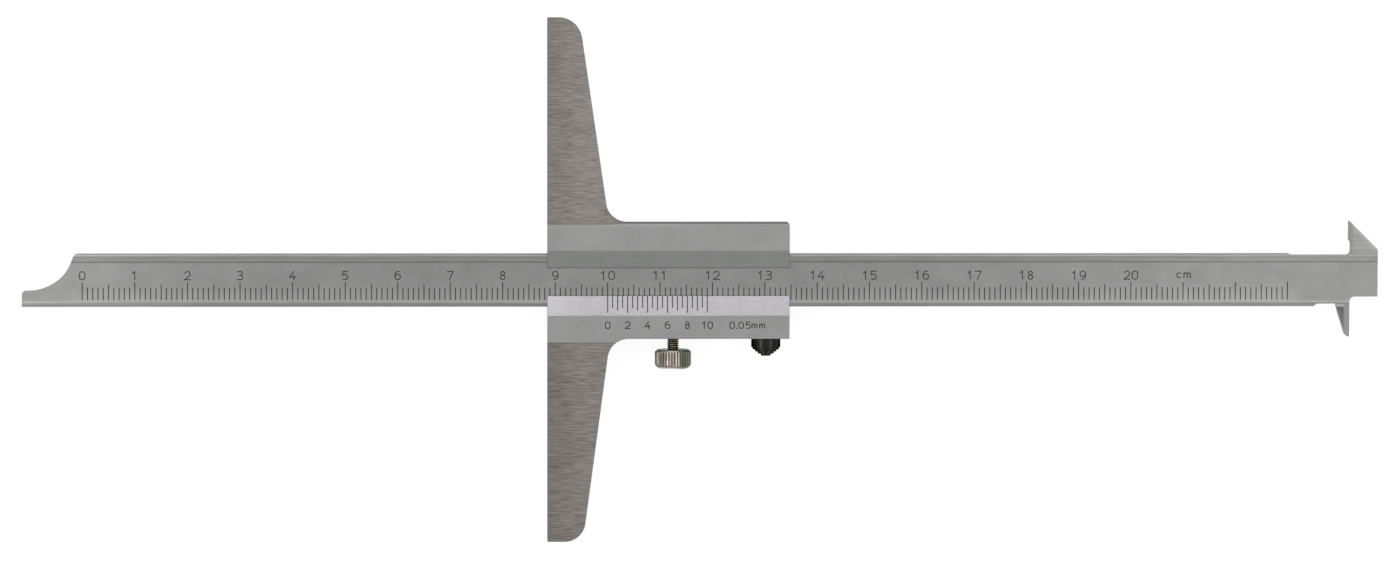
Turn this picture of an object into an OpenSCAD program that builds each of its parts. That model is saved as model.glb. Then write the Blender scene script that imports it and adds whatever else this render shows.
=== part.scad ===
// Vernier depth gauge with a hooked beam, a knurled lock screw and a drag screw.
// The gauge lies on its back. X runs along the beam towards its hooks, Y runs across it and
// Z points out of the scale face. The origin is on the beam's centre line, where the plane of
// the measuring face meets the back. Lengths are in millimetres.
// Upper means towards +Y and lower means towards -Y, as the scale is read.

/* [Reading] */
// Depth that the gauge reads as it lies
reading = 100; // [0:0.05:200]

/* [Bridge] */
// Length of the measuring face, across the beam
bridge_l = 100; // [80:1:160]
// Width of the upper wing at its end
upper_wing_end_w = 6.1; // [5.6:0.1:8]
// Width of the upper wing where it meets the slider
upper_wing_root_w = 11.8; // [9:0.1:15]
// Corner radius at the end of the upper wing
upper_wing_r = 4.5; // [1:0.1:5]
// Width of the lower wing at its end
lower_wing_end_w = 6.8; // [5.6:0.1:8]
// Width of the lower wing where it meets the slider
lower_wing_root_w = 12; // [9:0.1:15]
// Corner radius at the end of the lower wing
lower_wing_r = 4; // [1:0.1:5]
// Radius between each wing and the slider
wing_fillet_r = 4; // [1:0.1:6]
// How far the ground wings lie below the slider's face
wing_drop = 0.3; // [0.1:0.05:0.8]
// How far the slider's satin face reaches onto the upper wing
upper_band_reach = 0.1; // [0.05:0.05:2]
// How far the slider's satin face reaches onto the lower wing
lower_band_reach = 0.75; // [0.2:0.05:2]

/* [Slider] */
// Length of the slider along the beam
slider_l = 46.2; // [42:0.1:70]
// Wall behind the beam
back_wall = 2.2; // [1.6:0.1:4]
// Thickness of the lips that hold the beam in
lip_t = 1; // [0.6:0.05:2]
// Thickness left at the sharp edge of each lip
lip_edge_t = 0.15; // [0.1:0.05:0.4]
// Height of the slider above the beam's channel
upper_flange = 5.85; // [4:0.05:9]
// Height of the slider below the strip's room
lower_flange = 5.15; // [4:0.05:9]
// How far the upper lip covers the beam
upper_lip_cover = 2.57; // [1.6:0.01:3]
// How far the lower lip covers the beam
lower_lip_cover = 2.1; // [1.2:0.01:2.5]
// Width of the upper lip's bevel
upper_bevel_w = 3.33; // [2.5:0.01:5]
// Width of the lower lip's bevel, which carries the vernier lines
lower_bevel_w = 3.76; // [3.4:0.01:5]
// Radius of the slider's free upper corner
slider_corner_r = 0.4; // [0.1:0.05:2]

/* [Beam] */
// Length of the beam over everything
beam_l = 258.8; // [255:0.1:300]
// Width of the beam
beam_w = 10; // [9.5:0.1:14]
// Thickness of the beam
beam_t = 3.5; // [3:0.1:5]
// Width of the guide rail along the upper edge
upper_rail_w = 1.38; // [0.6:0.01:1.5]
// Width of the guide rail along the lower edge
lower_rail_w = 1; // [0.5:0.01:1.1]
// How far the graduated face lies below the rails
rail_h = 0.2; // [0.1:0.01:0.5]
// Chamfer along the beam's long edges
beam_chamfer = 0.15; // [0.05:0.01:0.3]

/* [Measuring tip] */
// Height of the narrow measuring tip
tip_h = 2.9; // [2:0.1:4]
// Length of the tip before the curve starts
tip_flat = 1.05; // [0.5:0.05:4]
// Radius of the curve from the tip up to the beam's full width
tip_arc_r = 9; // [8:0.1:12]
// Radius of the corner where that curve ends
tip_corner_r = 0.9; // [0.3:0.1:1.5]
// Chamfer on the tip's upper corner
tip_chamfer = 0.3; // [0.1:0.05:0.8]

/* [Hooks] */
// From the hooks' measuring plane to the beam's end
hook_back = 5.4; // [4:0.1:8]
// How far the upper hook stands above the beam
upper_hook_h = 6.3; // [4.5:0.1:9]
// How far the beam's end corner stands above the beam, behind the upper hook
upper_hook_heel = 0.9; // [0.5:0.1:2]
// Length of the upper hook's measuring land
upper_land = 3.8; // [2:0.1:4]
// Undercut behind the measuring land
land_undercut = 0.35; // [0.1:0.05:0.6]
// Radius at the root of the upper hook
upper_root_r = 0.8; // [0.3:0.1:1.2]
// Depth of the relief in the beam's upper edge
upper_relief = 0.3; // [0.1:0.05:0.6]
// Length of that relief, back from the measuring plane
upper_relief_l = 11.7; // [6:0.1:12]
// How far the lower hook stands below the beam
lower_hook_h = 5.8; // [4:0.1:8]
// Width of the lower hook at its root
lower_hook_w = 2.5; // [2:0.1:4]
// Width of the lower hook at its shoulder
lower_shoulder_w = 2.15; // [1.8:0.05:3.5]
// How far below the beam the shoulder lies
lower_shoulder_h = 1.1; // [0.6:0.1:2]
// Width of the lower hook at its tip
lower_tip_w = 0.7; // [0.6:0.1:1.6]
// Chamfer on the inner corner of the lower hook's tip
lower_tip_chamfer = 0.35; // [0.1:0.05:0.5]
// Width of the lower hook's flat face beside its ground facet
lower_flat_w = 0.95; // [0.4:0.05:1.4]
// Slope of that facet
lower_facet_angle = 35; // [20:1:45]
// Depth of the relief in the beam's lower edge
lower_relief = 0.5; // [0.2:0.05:0.8]
// Length of that relief
lower_relief_l = 4.3; // [2:0.1:6]
// How far the beam's end is cut back behind the lower hook
end_lift = 1.84; // [1:0.02:3]
// Radius behind the lower hook
end_root_r = 1.1; // [0.3:0.1:1.6]

/* [Main scale] */
// From the tip to the zero line, and from the measuring face to the vernier's zero line
scale_zero = 11.5; // [11:0.1:14]
// Distance from one line of the main scale to the next
line_pitch = 1; // [0.5:0.5:1]
// Number of centimetres on the scale
scale_cm = 23; // [21:1:23]
// Last centimetre that carries a number
last_number = 20; // [10:1:20]
// Width of an engraved line or stroke
line_w = 0.18; // [0.1:0.01:0.3]
// From the beam's lower edge to the foot of the lines
line_foot = 1.27; // [1.25:0.01:2]
// Length of a millimetre line
line_mm = 2.4; // [1.5:0.05:2.6]
// Length of a five millimetre line
line_half_cm = 2.96; // [2:0.05:3]
// Length of a centimetre line
line_cm = 3.4; // [2.5:0.05:3.6]
// Height of the numbers
number_h = 1.54; // [1:0.02:1.8]
// From the beam's lower edge to the foot of the numbers
number_foot = 5.2; // [5:0.05:5.6]
// Height of a letter's ascender in the unit mark
unit_h = 1.36; // [0.8:0.02:1.6]
// How far the unit mark's foot lies above the numbers' foot
unit_lift = 0.3; // [0:0.05:0.5]
// Thickness of the lacquer in lines and numbers
ink_t = 0.02; // [0.01:0.005:0.05]

/* [Vernier] */
// Number of vernier divisions
vernier_parts = 20; // [10:10:20]
// Length of the shortest vernier lines
vernier_short = 2.35; // [1.5:0.05:2.6]
// Length of the middle vernier lines
vernier_middle = 2.85; // [2:0.05:3]
// Length of the longest vernier lines
vernier_long = 3.27; // [2.5:0.01:3.4]
// Height of the vernier's numbers
vernier_number_h = 1.28; // [0.8:0.02:1.8]
// From the slider's lower edge to the foot of those numbers
vernier_number_foot = 2; // [1:0.05:2.5]
// Height of the unit mark's digits
vernier_unit_h = 1.22; // [0.8:0.02:1.6]
// Height of an ascender beside the unit mark's letters
vernier_letter_h = 1.06; // [0.8:0.02:1.4]
// How far those letters' foot lies above the digits' foot
vernier_letter_lift = 0.14; // [0:0.02:0.4]
// From the vernier's last line to the unit mark's first digit
vernier_unit_gap = 4.75; // [3:0.05:8]

/* [Spring strip] */
// Thickness of the spring strip between the beam and the screws
strip_t = 0.5; // [0.3:0.05:0.8]
// Bow of the strip
strip_bow = 0.36; // [0.1:0.02:0.6]
// From each end of the slider to the strip
strip_inset = 2.6; // [2:0.1:5]
// Diameter of the pins that keep the strip in place
pin_d = 0.8; // [0.5:0.05:0.9]
// Depth of the pins' holes in the back wall
pin_seat = 1.4; // [0.8:0.1:1.5]

/* [Lock screw] */
// From the measuring face to the lock screw
lock_x = 24; // [18:0.1:30]
// Outside diameter of both screw threads
thread_d = 2.3; // [2:0.1:3]
// Pitch of both screw threads
thread_pitch = 0.4; // [0.3:0.05:0.6]
// Depth of both screw threads
thread_h = 0.18; // [0.1:0.01:0.25]
// From the slider to the knurled head as the gauge lies
lock_standoff = 2.2; // [1.5:0.1:4]
// Diameter of the knurled head over its ridges
lock_head_d = 6.9; // [5:0.1:7.8]
// Height of the knurled head
lock_head_h = 3.6; // [2.5:0.1:6]
// Chamfer on the side of the head that faces the slider
lock_chamfer_in = 0.35; // [0.1:0.05:0.6]
// Chamfer on the outer side of the head
lock_chamfer_out = 0.6; // [0.2:0.05:1]
// Number of knurl ridges
knurl_count = 36; // [24:1:48]
// Depth of the knurl
knurl_h = 0.2; // [0.05:0.01:0.3]

/* [Drag screw] */
// From the slider's free end to the drag screw
drag_inset = 4.45; // [4:0.05:8]
// Diameter of the black head
drag_head_d = 5.6; // [4:0.1:6.6]
// Height of the head's round rim
drag_rim_h = 1.7; // [1:0.1:3]
// Height of the stepped cone on the rim
drag_cone_h = 1.65; // [1:0.05:3]
// Diameter of the cone's end
drag_end_d = 1.9; // [1:0.1:3]
// Number of steps in the cone
drag_steps = 4; // [2:1:6]

/* [Pads] */
// Diameter of the brass pads ahead of the screws
pad_d = 2.2; // [1.6:0.05:2.2]
// Length of the brass pads
pad_l = 1.1; // [0.8:0.1:2]
// Diameter of the plain shank inside each head
shank_d = 1.5; // [1:0.1:1.6]
// Length of the plain shank inside each head
shank_l = 1.5; // [1:0.1:2]

/* [Fits] */
// Gap between the beam's edges and the parts beside them
side_gap = 0.05; // [0.03:0.01:0.1]
// Gap between the beam's faces and the slider
face_gap = 0.05; // [0.03:0.01:0.1]
// Gap round each thread in its hole
thread_gap = 0.05; // [0.02:0.01:0.1]
// Gap round the strip
strip_gap = 0.04; // [0.02:0.01:0.1]
// Gap between the clamp pad and the strip with the lock open
clamp_gap = 0.12; // [0.11:0.01:0.2]
// Gap between the drag pad and the strip
drag_gap = 0.03; // [0.02:0.01:0.1]
// Gap between each screw's end and its pad
pad_gap = 0.02; // [0.01:0.01:0.05]
// Gap between the black head and the slider
seat_gap = 0.05; // [0.03:0.01:0.1]
// Gap round a pressed pin or shank
press_gap = 0.01; // [0.005:0.005:0.02]

/* [Hidden] */
$fn = 64;
// Overrun of every cut
over = 1;
// How much larger a round is than its name says, so that it crosses the flats it runs into
round_over = 0.01;
// Divisions from one numbered line of the main scale to the next
division_count = 10;

// Slider, seen along the beam
half_beam = beam_w / 2;
channel_top = half_beam + side_gap;
strip_room = strip_t + strip_bow + strip_gap;
channel_bottom = -(half_beam + side_gap + strip_room);
slider_top = channel_top + upper_flange;
slider_bottom = channel_bottom - lower_flange;
beam_z = back_wall + face_gap;
beam_top = beam_z + beam_t;
lip_z = beam_top + face_gap;
slider_t = lip_z + lip_t;
bridge_t = slider_t - wing_drop;
upper_edge = half_beam - upper_lip_cover;
lower_edge = -(half_beam - lower_lip_cover);
bevel_h = lip_t - lip_edge_t;
vernier_angle = atan(bevel_h / lower_bevel_w);

// Main scale and vernier
number_step = division_count * line_pitch;
vernier_span = (vernier_parts - 1) * line_pitch;

// Beam, from its tip
face_z = beam_top - rail_h;
upper_rail = half_beam - upper_rail_w;
lower_rail = -(half_beam - lower_rail_w);
hook_plane = beam_l - hook_back;
relief_top = half_beam - upper_relief;
relief_bottom = -(half_beam - lower_relief);
tip_top = tip_h - half_beam;
tip_arc_y = tip_top + tip_arc_r;
tip_corner_y = half_beam - tip_corner_r;
tip_corner_x = tip_flat + sqrt(pow(tip_arc_r + tip_corner_r, 2) - pow(tip_arc_y - tip_corner_y, 2));

// Spring strip, a flat arc whose crown lies beside the beam
strip_middle = slider_l / 2;
strip_half_l = strip_middle - strip_inset;
strip_r = (pow(strip_half_l, 2) + pow(strip_bow, 2)) / (2 * strip_bow);
strip_crown = -(half_beam + side_gap);
strip_arc_y = strip_crown - strip_r;
pin_y = strip_crown - side_gap - pin_d / 2;
pin_x = strip_inset - strip_gap - pin_d / 2;

// Screws, on the middle of the beam's edge
screw_z = beam_z + beam_t / 2;
screw_bore_r = thread_d / 2 + thread_gap;
drag_x = slider_l - drag_inset;
clamp_tip = strip_back(lock_x) - clamp_gap;
drag_tip = strip_back(drag_x) - drag_gap;
lock_head_y = slider_bottom - lock_standoff;
drag_head_y = slider_bottom - seat_gap;

// The strip's outer face at a place along the slider, at the lowest point that a pad there meets
function strip_back(x) =
    strip_arc_y + sqrt(pow(strip_r - strip_t, 2) - pow(abs(x - strip_middle) + pad_d / 2, 2));

// Strokes of each character, as shares of its height: straight ones from x0, y0 to x1, y1,
// and arcs with their centre, their radius, and their first and last angle in degrees
stroke_shares = [
    ["0", [[-0.35, 0.35, -0.35, 0.65], [0.35, 0.35, 0.35, 0.65]],
          [[0, 0.65, 0.35, 0, 180], [0, 0.35, 0.35, 180, 360]]],
    ["1", [[0, 0, 0, 1], [0, 1, -0.24, 0.78]], []],
    ["2", [[0.27, 0.48, -0.35, 0], [-0.35, 0, 0.37, 0]], [[0, 0.67, 0.33, -35, 170]]],
    ["3", [[-0.3, 1, 0.05, 1], [-0.12, 0.53, 0.05, 0.53], [-0.33, 0, 0.05, 0]],
          [[0.05, 0.765, 0.235, -90, 90], [0.05, 0.265, 0.265, -90, 90]]],
    ["4", [[0.12, 1, -0.36, 0.3], [-0.36, 0.3, 0.38, 0.3], [0.16, 0.56, 0.16, 0]], []],
    ["5", [[0.3, 1, -0.26, 1], [-0.26, 1, -0.3, 0.55]], [[0, 0.32, 0.32, -150, 132]]],
    ["6", [[-0.33, 0.33, -0.33, 0.65]], [[0, 0.33, 0.33, 0, 360], [0.02, 0.65, 0.35, 55, 180]]],
    ["7", [[-0.33, 1, 0.35, 1], [0.35, 1, -0.08, 0]], []],
    ["8", [], [[0, 0.765, 0.235, 0, 360], [0, 0.265, 0.265, 0, 360]]],
    ["9", [[0.33, 0.35, 0.33, 0.67]], [[0, 0.67, 0.33, 0, 360], [-0.02, 0.35, 0.35, 235, 360]]],
    [".", [[-0.03, 0, 0.03, 0]], []],
    ["c", [], [[0, 0.33, 0.33, 48, 312]]],
    ["m", [[-0.44, 0, -0.44, 0.66], [0, 0, 0, 0.44], [0.44, 0, 0.44, 0.44]],
          [[-0.22, 0.44, 0.22, 0, 180], [0.22, 0.44, 0.22, 0, 180]]]];
// Distance between the middles of two characters in a row, as a share of their height
pitch_share = 1;
vernier_pitch_share = 0.88;
point_pitch_share = 0.7;
letter_pitch_share = 1.12;
vernier_letter_pitch_share = 1.38;
// Places of the last digit and the first letter in the vernier's unit mark, as shares of those
last_digit_share = 3.58;
first_letter_share = 1.3;

// Points along a piece of pie that holds an arc
function pie(r, first, last) =
    concat([[0, 0]], [for (i = [0:4]) let (a = first + (last - first) * i / 4) r * [cos(a), sin(a)]]);

module straight_stroke(from, to) {
    d = to - from;
    translate(from)
        rotate(atan2(d.y, d.x))
            translate([-line_w / 2, -line_w / 2])
                square([norm(d) + line_w, line_w]);
}

module ring_stroke(r) {
    difference() {
        circle(r = r + line_w / 2);
        circle(r = r - line_w / 2);
    }
}

module arc_stroke(centre, r, first, last) {
    translate(centre) {
        if (last - first >= 360)
            ring_stroke(r);
        else
            intersection() {
                ring_stroke(r);
                polygon(pie(2 * r, first, last));
            }
    }
}

// One character, flat, with the middle of its foot at the origin
module character(which, h) {
    for (glyph = stroke_shares)
        if (glyph[0] == which) {
            for (s = glyph[1])
                straight_stroke(h * [s[0], s[1]], h * [s[2], s[3]]);
            for (a = glyph[2])
                arc_stroke(h * [a[0], a[1]], h * a[2], a[3], a[4]);
        }
}

// A row of characters about a middle place, in lacquer
module word(letters, h, pitch) {
    linear_extrude(ink_t)
        for (i = [0:len(letters) - 1])
            translate([(i - (len(letters) - 1) / 2) * pitch, 0])
                character(letters[i], h);
}

// Extrudes a shape drawn in Y and Z along the beam
module along_beam(length) {
    rotate([90, 0, 90])
        linear_extrude(length)
            children();
}

// Stands a round shape's axis along Y, with its start at y on a screw's axis
module on_screw(x, y) {
    translate([x, y, screw_z])
        rotate([-90, 0, 0])
            children();
}

// Half of the bridge on one side of the slider, drawn above y = 0 from the slider's edge up
module wing_outline(edge, end_w, root_w, r) {
    end = bridge_l / 2 - edge;
    slope = atan((root_w - end_w) / end);
    corner = [root_w - (end - r) * tan(slope) - r / cos(slope), end - r];
    fillet = [root_w - wing_fillet_r * tan(slope) + wing_fillet_r / cos(slope), wing_fillet_r];
    turn = fillet - wing_fillet_r * [cos(slope), sin(slope)];
    polygon([[0, 0], [root_w, 0], corner + r * [cos(slope), sin(slope)], corner,
             [corner.x, end], [0, end]]);
    intersection() {
        translate(corner) circle(r = r + round_over);
        translate(corner) square([r + round_over, r]);
    }
    difference() {
        polygon([[0, -over], [fillet.x, -over], fillet, turn, [0, turn.y]]);
        translate(fillet) circle(r = wing_fillet_r + round_over);
    }
}

// The whole front outline of the slider and the bridge
module bridge_outline() {
    difference() {
        translate([0, slider_bottom]) square([slider_l, slider_top - slider_bottom]);
        translate([slider_l - slider_corner_r, slider_top - slider_corner_r])
            difference() {
                square(slider_corner_r + over);
                circle(r = slider_corner_r + round_over);
            }
    }
    translate([0, slider_top])
        wing_outline(slider_top, upper_wing_end_w, upper_wing_root_w, upper_wing_r);
    translate([0, slider_bottom])
        mirror([0, 1])
            wing_outline(-slider_bottom, lower_wing_end_w, lower_wing_root_w, lower_wing_r);
}

// Section, across the beam, of the channel that it slides in and of the bevelled window over it
module channel_section() {
    polygon([[channel_bottom, back_wall], [channel_top, back_wall], [channel_top, lip_z],
             [upper_edge, lip_z], [upper_edge, lip_z + lip_edge_t],
             [upper_edge + upper_bevel_w, slider_t], [upper_edge + upper_bevel_w, slider_t + over],
             [lower_edge - lower_bevel_w, slider_t + over], [lower_edge - lower_bevel_w, slider_t],
             [lower_edge, lip_z + lip_edge_t], [lower_edge, lip_z], [channel_bottom, lip_z]]);
}

// Room for a screw from below the slider into the strip's room
module screw_bore(x) {
    on_screw(x, slider_bottom - over)
        cylinder(r = screw_bore_r, h = lower_flange + over + strip_room / 2);
}

module slider_bridge() {
    wing_l = bridge_l / 2;
    color([0.6, 0.6, 0.6])
        difference() {
            linear_extrude(slider_t)
                bridge_outline();
            translate([-over, 0, 0])
                along_beam(slider_l + 2 * over)
                    channel_section();
            translate([-over, slider_top + upper_band_reach, bridge_t])
                cube([slider_l, wing_l, wing_drop + over]);
            translate([-over, slider_bottom - lower_band_reach - wing_l, bridge_t])
                cube([slider_l, wing_l, wing_drop + over]);
            screw_bore(lock_x);
            screw_bore(drag_x);
            for (x = [pin_x, slider_l - pin_x])
                translate([x, pin_y, back_wall - pin_seat])
                    cylinder(d = pin_d + 2 * press_gap, h = pin_seat + strip_room);
        }
}

module gib_strip() {
    color([0.72, 0.5, 0.28])
        translate([0, 0, back_wall + strip_gap])
            intersection() {
                translate([strip_middle, strip_arc_y, 0])
                    difference() {
                        cylinder(r = strip_r, h = lip_z - back_wall - 2 * strip_gap, $fn = 1440);
                        translate([0, 0, -over])
                            cylinder(r = strip_r - strip_t, h = beam_t + 4 * over, $fn = 1440);
                    }
                translate([strip_inset, channel_bottom - over, -over])
                    cube([2 * strip_half_l, strip_room + 2 * over, beam_t + 4 * over]);
            }
}

module gib_pins() {
    color([0.5, 0.5, 0.52])
        for (x = [pin_x, slider_l - pin_x])
            translate([x, pin_y, back_wall - pin_seat])
                cylinder(d = pin_d, h = pin_seat + lip_z - back_wall - strip_gap);
}

// Puts a flat shape on the vernier's bevel, with its start at the lip's sharp edge
module on_vernier(x) {
    translate([x, lower_edge, lip_z + lip_edge_t])
        rotate([-vernier_angle, 0, 0])
            children();
}

module vernier_lines() {
    color([0.12, 0.12, 0.12])
        for (i = [0:vernier_parts]) {
            length = i % 4 == 0 ? vernier_long : i % 2 == 0 ? vernier_middle : vernier_short;
            on_vernier(scale_zero + i * vernier_span / vernier_parts)
                translate([-line_w / 2, -length, 0])
                    cube([line_w, length, ink_t]);
        }
}

module vernier_numbers() {
    color([0.12, 0.12, 0.12])
        for (i = [0:4:vernier_parts])
            translate([scale_zero + i * vernier_span / vernier_parts,
                       slider_bottom + vernier_number_foot, slider_t])
                word(str(10 * i / vernier_parts), vernier_number_h, vernier_pitch_share * vernier_number_h);
}

module vernier_unit_mark() {
    y = slider_bottom + vernier_number_foot;
    x = scale_zero + vernier_span + vernier_unit_gap;
    pitch = point_pitch_share * vernier_unit_h;
    letter_pitch = vernier_letter_pitch_share * vernier_letter_h;
    last_digit = last_digit_share * pitch;
    letters = last_digit + first_letter_share * letter_pitch;
    color([0.12, 0.12, 0.12])
        translate([x, y, slider_t]) {
            word("0", vernier_unit_h, pitch);
            translate([pitch, 0, 0]) word(".", vernier_unit_h, pitch);
            translate([2 * pitch, 0, 0]) word("0", vernier_unit_h, pitch);
            translate([last_digit, 0, 0]) word("5", vernier_unit_h, pitch);
            translate([letters, vernier_letter_lift, 0]) word("mm", vernier_letter_h, letter_pitch);
        }
}

// Section of the beam: guide rails along both edges of its front and a chamfer on each edge
module beam_section() {
    polygon([[-half_beam, beam_z + beam_chamfer], [-half_beam + beam_chamfer, beam_z],
             [half_beam - beam_chamfer, beam_z], [half_beam, beam_z + beam_chamfer],
             [half_beam, beam_top - beam_chamfer], [half_beam - beam_chamfer, beam_top],
             [upper_rail, beam_top], [upper_rail - rail_h, face_z],
             [lower_rail + rail_h, face_z], [lower_rail, beam_top],
             [-half_beam + beam_chamfer, beam_top], [-half_beam, beam_top - beam_chamfer]]);
}

// What is ground away above the measuring tip
module tip_cut() {
    arc = [tip_flat, tip_arc_y];
    corner = [tip_corner_x, tip_corner_y];
    translate(arc) circle(r = tip_arc_r, $fn = 180);
    translate([-over, tip_top]) square([tip_flat + over, beam_w]);
    polygon([[-over, tip_top - tip_chamfer - over], [tip_chamfer + over, tip_top + over],
             [-over, tip_top + over]]);
    difference() {
        polygon([arc, corner, [tip_corner_x, max(tip_arc_y, half_beam + over)]]);
        translate(corner) circle(r = tip_corner_r + round_over);
    }
}

// What is ground away along the beam's edges beside the hooks, with the measuring plane at x = 0
module relief_cut() {
    slant = 3 * upper_relief;
    polygon([[-upper_relief_l, half_beam], [slant - upper_relief_l, relief_top],
             [hook_back + over, relief_top], [hook_back + over, half_beam + over],
             [-upper_relief_l, half_beam + over]]);
    left = -(lower_hook_w + lower_relief_l);
    polygon([[left, -half_beam - over], [left, -half_beam], [left + lower_relief, relief_bottom],
             [0, relief_bottom], [0, -half_beam - over]]);
    end_y = end_lift - half_beam;
    difference() {
        translate([0, -half_beam - over])
            square([hook_back + over, over + end_lift]);
        translate([-over, end_y - end_root_r])
            difference() {
                square([over + end_root_r, end_root_r + over]);
                translate([over + end_root_r, 0]) circle(r = end_root_r + round_over);
            }
    }
}

// The upper hook: measuring land, undercut and round root
module upper_hook() {
    tip_y = half_beam + upper_hook_h;
    land_y = tip_y - upper_land;
    root = [land_undercut - upper_root_r, relief_top + upper_root_r];
    polygon([[0, tip_y], [0, land_y], [land_undercut, land_y - land_undercut],
             [land_undercut, upper_rail], [hook_back, upper_rail],
             [hook_back, half_beam + upper_hook_heel]]);
    difference() {
        polygon([[root.x, upper_rail], [land_undercut + land_undercut, upper_rail],
                 [land_undercut + land_undercut, root.y], root]);
        translate(root) circle(r = upper_root_r + round_over);
    }
}

module lower_hook() {
    tip_y = -half_beam - lower_hook_h;
    polygon([[-lower_hook_w, relief_bottom - lower_relief / 2], [-lower_hook_w, relief_bottom],
             [-lower_hook_w, lower_rail], [0, lower_rail], [0, tip_y],
             [lower_tip_chamfer - lower_tip_w, tip_y], [-lower_tip_w, tip_y + lower_tip_chamfer],
             [-lower_shoulder_w, -half_beam - lower_shoulder_h]]);
}

// Ground facets that make the lower hook's inner edge sharp, front and back
module lower_hook_facets() {
    run = lower_hook_w + over;
    drop = run * tan(lower_facet_angle);
    reach = lower_hook_h + over;
    for (side = [1, -1])
        translate([hook_plane - lower_flat_w, relief_bottom, screw_z])
            scale([1, 1, side])
                rotate([90, 0, 0])
                    linear_extrude(reach)
                        polygon([[0, beam_t / 2], [0, beam_t], [-run, beam_t],
                                 [-run, beam_t / 2 - drop]]);
}

module beam_in_place() {
    translate([-reading, 0, 0])
        children();
}

module beam() {
    color([0.58, 0.58, 0.57])
        beam_in_place()
            union() {
                intersection() {
                    along_beam(beam_l) beam_section();
                    linear_extrude(slider_t)
                        difference() {
                            translate([0, -half_beam - over]) square([beam_l, beam_w + 2 * over]);
                            tip_cut();
                            translate([hook_plane, 0]) relief_cut();
                        }
                }
                translate([hook_plane, 0, beam_z])
                    linear_extrude(beam_t)
                        upper_hook();
                difference() {
                    translate([hook_plane, 0, beam_z])
                        linear_extrude(beam_t)
                            lower_hook();
                    lower_hook_facets();
                }
            }
}

module scale_lines() {
    color([0.12, 0.12, 0.12])
        beam_in_place()
            for (i = [0:scale_cm * division_count]) {
                length = i % division_count == 0 ? line_cm
                       : i % division_count == division_count / 2 ? line_half_cm : line_mm;
                translate([scale_zero + i * line_pitch - line_w / 2, line_foot - half_beam, face_z])
                    cube([line_w, length, ink_t]);
            }
}

module scale_numbers() {
    color([0.12, 0.12, 0.12])
        beam_in_place()
            for (i = [0:last_number])
                translate([scale_zero + i * number_step, number_foot - half_beam, face_z])
                    word(str(i), number_h, pitch_share * number_h);
}

module scale_unit_mark() {
    color([0.12, 0.12, 0.12])
        beam_in_place()
            translate([scale_zero + (last_number + 1) * number_step,
                       number_foot + unit_lift - half_beam, face_z])
                word("cm", unit_h, letter_pitch_share * unit_h);
}

// A pad that the screw pushes ahead of it, with its end at y
module pad(x, y) {
    color([0.8, 0.65, 0.3])
        on_screw(x, y - pad_l)
            cylinder(d = pad_d, h = pad_l);
}

module clamp_pad() {
    pad(lock_x, clamp_tip);
}

module drag_pad() {
    pad(drag_x, drag_tip);
}

// A threaded stem from its head to its end, with the thread as rings and a plain shank in the head
module screw_stem(length) {
    turns = floor(length / thread_pitch);
    start = length - turns * thread_pitch;
    r = thread_d / 2;
    rotate_extrude()
        polygon(concat(
            [[0, -shank_l], [shank_d / 2, -shank_l], [shank_d / 2, 0], [r - thread_h, 0]],
            [for (i = [0:turns - 1]) each [
                [r - thread_h, start + i * thread_pitch],
                [r, start + (i + 0.5) * thread_pitch]]],
            [[r - thread_h, length], [0, length]]));
}

module lock_screw_stem() {
    color([0.3, 0.29, 0.22])
        on_screw(lock_x, lock_head_y)
            screw_stem(clamp_tip - pad_l - pad_gap - lock_head_y);
}

module drag_screw_stem() {
    color([0.3, 0.29, 0.22])
        on_screw(drag_x, drag_head_y)
            screw_stem(drag_tip - pad_l - pad_gap - drag_head_y);
}

module shank_bore() {
    translate([0, 0, -shank_l - press_gap])
        cylinder(d = shank_d + 2 * press_gap, h = shank_l + press_gap + over);
}

module lock_screw_head() {
    r = lock_head_d / 2;
    color([0.62, 0.58, 0.55])
        on_screw(lock_x, lock_head_y)
            difference() {
                intersection() {
                    translate([0, 0, -lock_head_h])
                        linear_extrude(lock_head_h)
                            polygon([for (i = [0:2 * knurl_count - 1])
                                let (a = 180 * i / knurl_count)
                                (r - (i % 2) * knurl_h) * [cos(a), sin(a)]]);
                    rotate_extrude()
                        polygon([[0, 0], [r - lock_chamfer_in, 0],
                                 [r + over, -lock_chamfer_in - over],
                                 [r + over, lock_chamfer_out + over - lock_head_h],
                                 [r - lock_chamfer_out, -lock_head_h], [0, -lock_head_h]]);
                }
                shank_bore();
            }
}

module drag_screw_head() {
    r = drag_head_d / 2;
    rise = drag_cone_h / drag_steps;
    shrink = (r - drag_end_d / 2) / drag_steps;
    color([0.06, 0.06, 0.06])
        on_screw(drag_x, drag_head_y)
            difference() {
                rotate_extrude()
                    polygon(concat(
                        [[0, 0], [r, 0]],
                        [for (i = [0:drag_steps - 1]) each [
                            [r - i * shrink, -drag_rim_h - i * rise],
                            [r - (i + 1) * shrink, -drag_rim_h - i * rise]]],
                        [[drag_end_d / 2, -drag_rim_h - drag_cone_h], [0, -drag_rim_h - drag_cone_h]]));
                shank_bore();
            }
}

slider_bridge();
gib_strip();
gib_pins();
vernier_lines();
vernier_numbers();
vernier_unit_mark();
beam();
scale_lines();
scale_numbers();
scale_unit_mark();
clamp_pad();
lock_screw_stem();
lock_screw_head();
drag_pad();
drag_screw_stem();
drag_screw_head();
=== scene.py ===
"""Looks of a vernier depth gauge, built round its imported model.

The gauge lies on its back. X runs along the beam towards the hooks, Y runs across the beam as the
scale is read, and Z points out of the scale face. Places are in metres in the model's own frame.
Sizes and places on a surface are written in millimetres, and MM turns them into metres. Angles
are written in degrees, where no docstring says radians.
"""

import logging
import math
from collections.abc import Mapping, Sequence
from dataclasses import dataclass
from enum import Enum

import bmesh
import bpy
from mathutils import Matrix, Vector


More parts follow.
